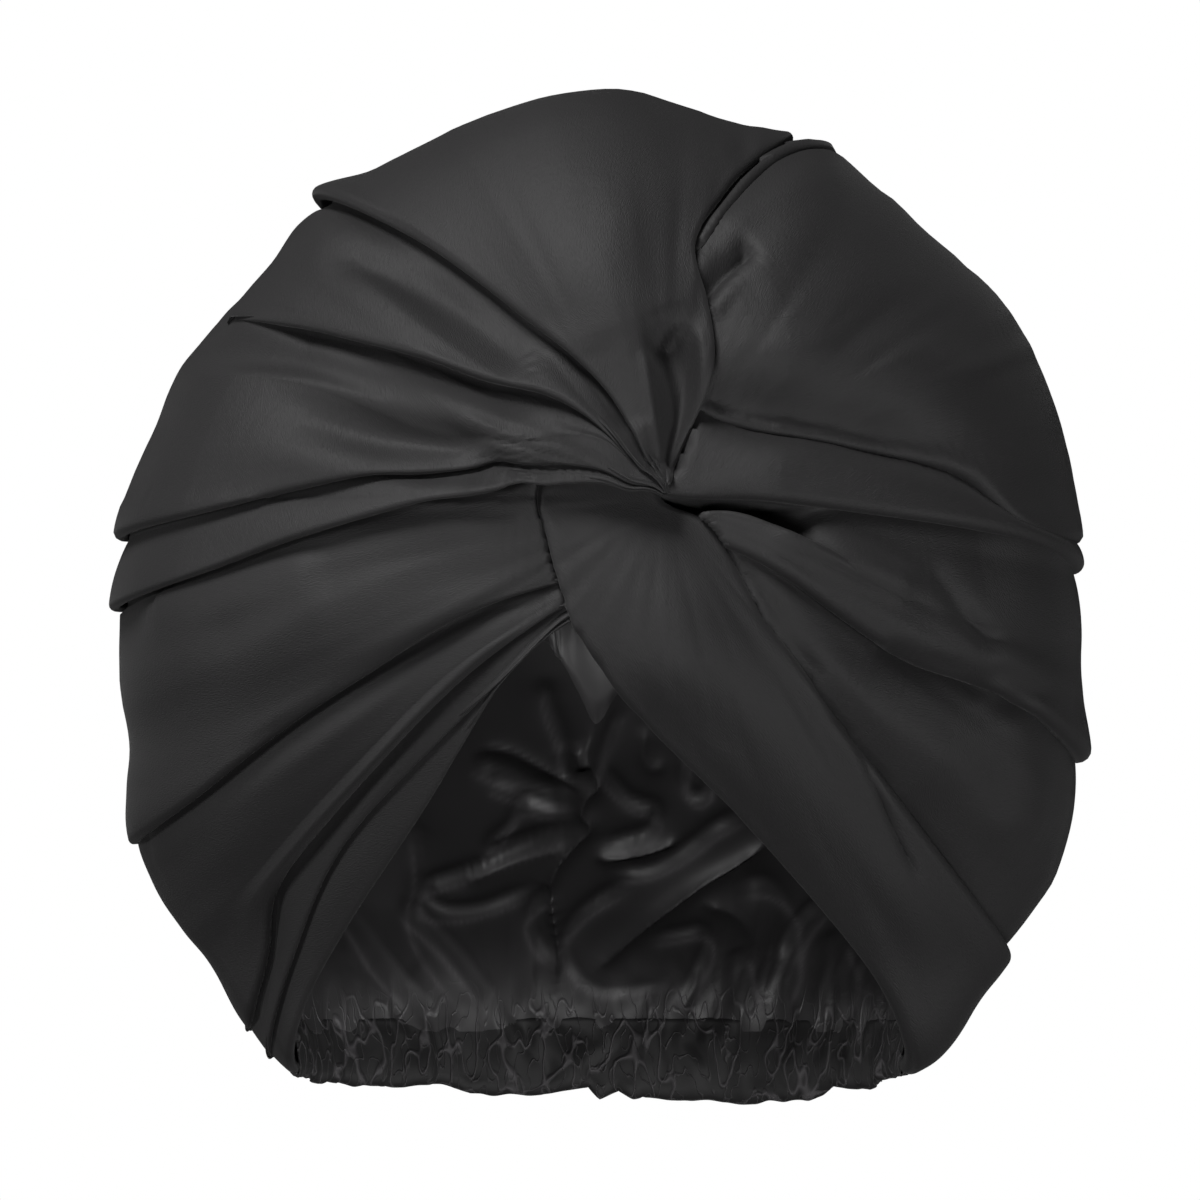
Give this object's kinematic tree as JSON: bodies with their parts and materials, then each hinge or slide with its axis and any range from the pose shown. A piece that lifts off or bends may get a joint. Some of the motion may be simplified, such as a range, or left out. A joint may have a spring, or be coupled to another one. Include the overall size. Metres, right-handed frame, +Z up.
{
  "type": "turban headwrap",
  "caption": "Twist-front satin turban head covering with pleated side wraps, gathered back, satin lining and elastic hem",
  "frame": {"origin": "the middle of the head opening at the level of its hem", "axes": "+Z up, the front with the twist faces -Y, +X to the viewer's right of the front view"},
  "size_m": [0.261, 0.2233, 0.2703],
  "materials": {
    "outer_satin": "black satin with a fine weave, soft sheen",
    "lining_satin": "black lining satin, glossier, thin bright lines on its folds",
    "hem_satin": "black satin gathered over elastic"
  },
  "bodies": {
    "root": {"crown_wrap": "outer_satin", "left_wrap": "outer_satin", "right_wrap": "outer_satin", "twist_band": "outer_satin", "back_panel": "outer_satin", "front_lining": "lining_satin", "back_lining": "lining_satin", "hem_casing": "hem_satin"}
  },
  "joints": []
}
